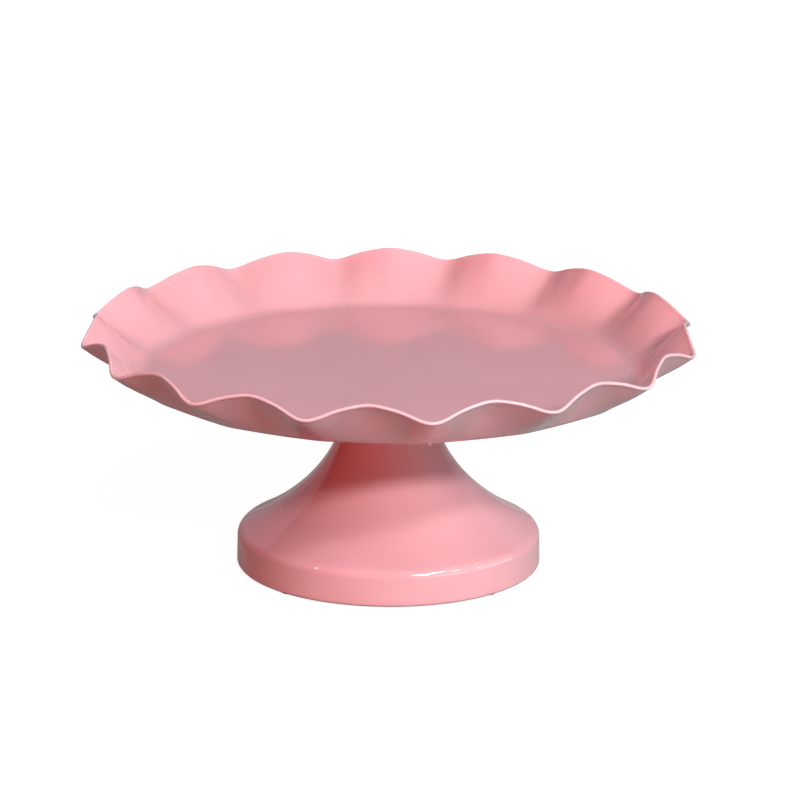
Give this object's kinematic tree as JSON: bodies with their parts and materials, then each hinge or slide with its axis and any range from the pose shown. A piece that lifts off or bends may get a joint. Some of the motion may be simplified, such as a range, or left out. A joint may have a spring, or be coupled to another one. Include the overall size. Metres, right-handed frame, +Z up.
{
  "type": "cake stand",
  "caption": "Round cake stand: a shallow pressed plate with a ruffled rim, held to a flared hollow pedestal by a stud and wing nut, on foot pads.",
  "frame": {"origin": "on the stand's axis, in the plane that the foot pads stand on", "axes": "+Z up along the axis, from the foot to the plate; +X and +Y along the table, with the wing nut's wings along X at rest"},
  "size_m": [0.3013, 0.3013, 0.1246],
  "materials": {
    "pink_enamel": "glossy baked enamel",
    "zinc_plate": "bright zinc plating",
    "spring_steel": "oiled spring steel",
    "pad_rubber": "matt",
    "gasket_rubber": "matt"
  },
  "bodies": {
    "stand": {"ruffled_plate": "pink_enamel", "mounting_disc": "pink_enamel", "threaded_stud": "zinc_plate", "gasket": "gasket_rubber", "pedestal": "pink_enamel", "foot_pad_1": "pad_rubber", "foot_pad_2": "pad_rubber", "foot_pad_3": "pad_rubber", "foot_pad_4": "pad_rubber"},
    "washers": {"flat_washer": "zinc_plate", "spring_washer": "spring_steel"},
    "wing_nut": {"wing_nut": "zinc_plate"}
  },
  "joints": [
    {"name": "washer_drop", "type": "slide", "parent": "stand", "child": "washers", "axis": [0, 0, -1], "range_m": [0, 0.01]},
    {"name": "nut_turn", "type": "hinge", "parent": "washers", "child": "wing_nut", "pos_m": [0, 0, 0.0892], "axis": [0, 0, -1], "range_deg": [0, 3600]}
  ],
  "couplings": [
    {"joint": "washer_drop", "follows": "nut_turn", "m_per_rad": 0.00015915}
  ]
}
